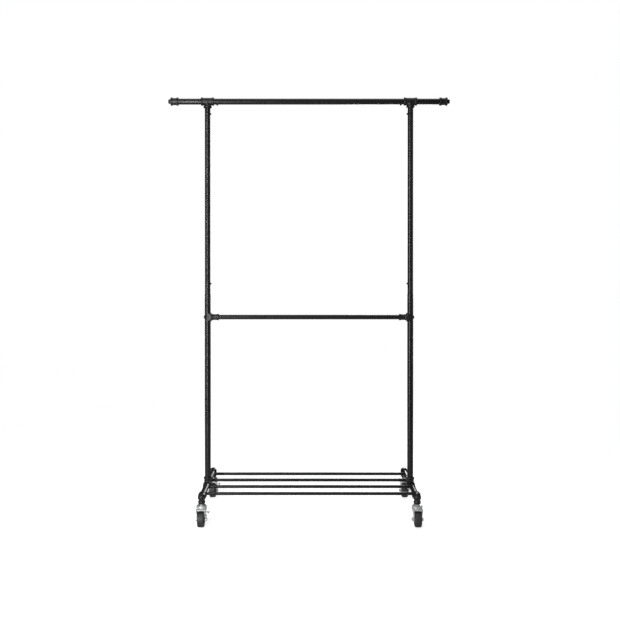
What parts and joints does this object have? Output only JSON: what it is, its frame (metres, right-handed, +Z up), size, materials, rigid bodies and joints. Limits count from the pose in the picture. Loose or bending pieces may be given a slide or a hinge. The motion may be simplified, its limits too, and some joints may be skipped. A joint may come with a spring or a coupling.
{
  "type": "rolling clothes rack",
  "caption": "Free-standing pipe-style clothes rack with a long top rail, a lower hanging rail, a rod shelf near the floor and swivel casters, some with a foot brake.",
  "frame": {"origin": "middle of the rack's footprint, on the floor under its bounding box", "axes": "+Z up, +X along the rails to the right as seen from the front, +Y to the back; the front is -Y"},
  "size_m": [1.22, 0.4714, 1.7915],
  "materials": {
    "tube_black": "semi-gloss black powder coat",
    "fitting_black": "black powder coat over a cast fitting",
    "screw_black": "black zinc",
    "sleeve_steel": "plain drawn tube",
    "caster_zinc": "bright zinc plate",
    "bearing_steel": "polished",
    "hub_plastic": "moulded",
    "tyre_rubber": "moulded",
    "grip_plastic": "moulded"
  },
  "bodies": {
    "frame": {"caster_stems": "caster_zinc", "frame_screws": "screw_black", "front_left_base_elbow": "fitting_black", "front_left_base_pipe": "tube_black", "front_right_base_elbow": "fitting_black", "front_right_base_pipe": "tube_black", "front_shelf_rod": "tube_black", "joint_sleeves": "sleeve_steel", "left_base_tee": "fitting_black", "left_end_coupling": "fitting_black", "left_end_plug": "fitting_black", "left_lower_upright": "tube_black", "left_mid_rail_bracket": "fitting_black", "left_rail_stub": "tube_black", "left_top_nipple": "tube_black", "left_top_tee": "fitting_black", "left_upper_upright": "tube_black", "mid_front_shelf_rod": "tube_black", "mid_rail": "tube_black", "mid_rail_bolts": "screw_black", "mid_rear_shelf_rod": "tube_black", "rear_left_base_elbow": "fitting_black", "rear_left_base_pipe": "tube_black", "rear_right_base_elbow": "fitting_black", "rear_right_base_pipe": "tube_black", "rear_shelf_rod": "tube_black", "right_base_tee": "fitting_black", "right_end_coupling": "fitting_black", "right_end_plug": "fitting_black", "right_lower_upright": "tube_black", "right_mid_rail_bracket": "fitting_black", "right_rail_stub": "tube_black", "right_top_nipple": "tube_black", "right_top_tee": "fitting_black", "right_upper_upright": "tube_black", "shelf_rod_screws": "screw_black", "swivel_balls": "bearing_steel", "top_rail": "tube_black"},
    "front_left_swivel": {"front_left_fork": "caster_zinc", "front_left_axle": "caster_zinc", "front_left_brake_pin": "caster_zinc"},
    "front_left_wheel": {"front_left_wheel_hub": "hub_plastic", "front_left_tyre": "tyre_rubber"},
    "front_right_swivel": {"front_right_fork": "caster_zinc", "front_right_axle": "caster_zinc"},
    "front_right_wheel": {"front_right_wheel_hub": "hub_plastic", "front_right_tyre": "tyre_rubber"},
    "rear_left_swivel": {"rear_left_fork": "caster_zinc", "rear_left_axle": "caster_zinc", "rear_left_brake_pin": "caster_zinc"},
    "rear_left_wheel": {"rear_left_wheel_hub": "hub_plastic", "rear_left_tyre": "tyre_rubber"},
    "rear_right_swivel": {"rear_right_fork": "caster_zinc", "rear_right_axle": "caster_zinc"},
    "rear_right_wheel": {"rear_right_wheel_hub": "hub_plastic", "rear_right_tyre": "tyre_rubber"},
    "front_left_brake": {"front_left_brake_lever": "caster_zinc", "front_left_brake_grip": "grip_plastic"},
    "rear_left_brake": {"rear_left_brake_lever": "caster_zinc", "rear_left_brake_grip": "grip_plastic"}
  },
  "joints": [
    {"name": "front_left_swivel_turn", "type": "hinge", "parent": "frame", "child": "front_left_swivel", "pos_m": [-0.44, -0.18575, 0.075], "axis": [0, 0, 1], "continuous": true},
    {"name": "front_left_wheel_roll", "type": "hinge", "parent": "front_left_swivel", "child": "front_left_wheel", "pos_m": [-0.44, -0.20375, 0.032], "axis": [1, 0, 0], "continuous": true},
    {"name": "front_right_swivel_turn", "type": "hinge", "parent": "frame", "child": "front_right_swivel", "pos_m": [0.44, -0.18575, 0.075], "axis": [0, 0, 1], "continuous": true},
    {"name": "front_right_wheel_roll", "type": "hinge", "parent": "front_right_swivel", "child": "front_right_wheel", "pos_m": [0.44, -0.20375, 0.032], "axis": [1, 0, 0], "continuous": true},
    {"name": "rear_left_swivel_turn", "type": "hinge", "parent": "frame", "child": "rear_left_swivel", "pos_m": [-0.44, 0.21425, 0.075], "axis": [0, 0, 1], "continuous": true},
    {"name": "rear_left_wheel_roll", "type": "hinge", "parent": "rear_left_swivel", "child": "rear_left_wheel", "pos_m": [-0.44, 0.19625, 0.032], "axis": [1, 0, 0], "continuous": true},
    {"name": "rear_right_swivel_turn", "type": "hinge", "parent": "frame", "child": "rear_right_swivel", "pos_m": [0.44, 0.21425, 0.075], "axis": [0, 0, 1], "continuous": true},
    {"name": "rear_right_wheel_roll", "type": "hinge", "parent": "rear_right_swivel", "child": "rear_right_wheel", "pos_m": [0.44, 0.19625, 0.032], "axis": [1, 0, 0], "continuous": true},
    {"name": "front_left_brake_press", "type": "hinge", "parent": "front_left_swivel", "child": "front_left_brake", "pos_m": [-0.4198, -0.20375, 0.0445], "axis": [0, 1, 0], "range_deg": [0, 50]},
    {"name": "rear_left_brake_press", "type": "hinge", "parent": "rear_left_swivel", "child": "rear_left_brake", "pos_m": [-0.4198, 0.19625, 0.0445], "axis": [0, 1, 0], "range_deg": [0, 50]}
  ]
}
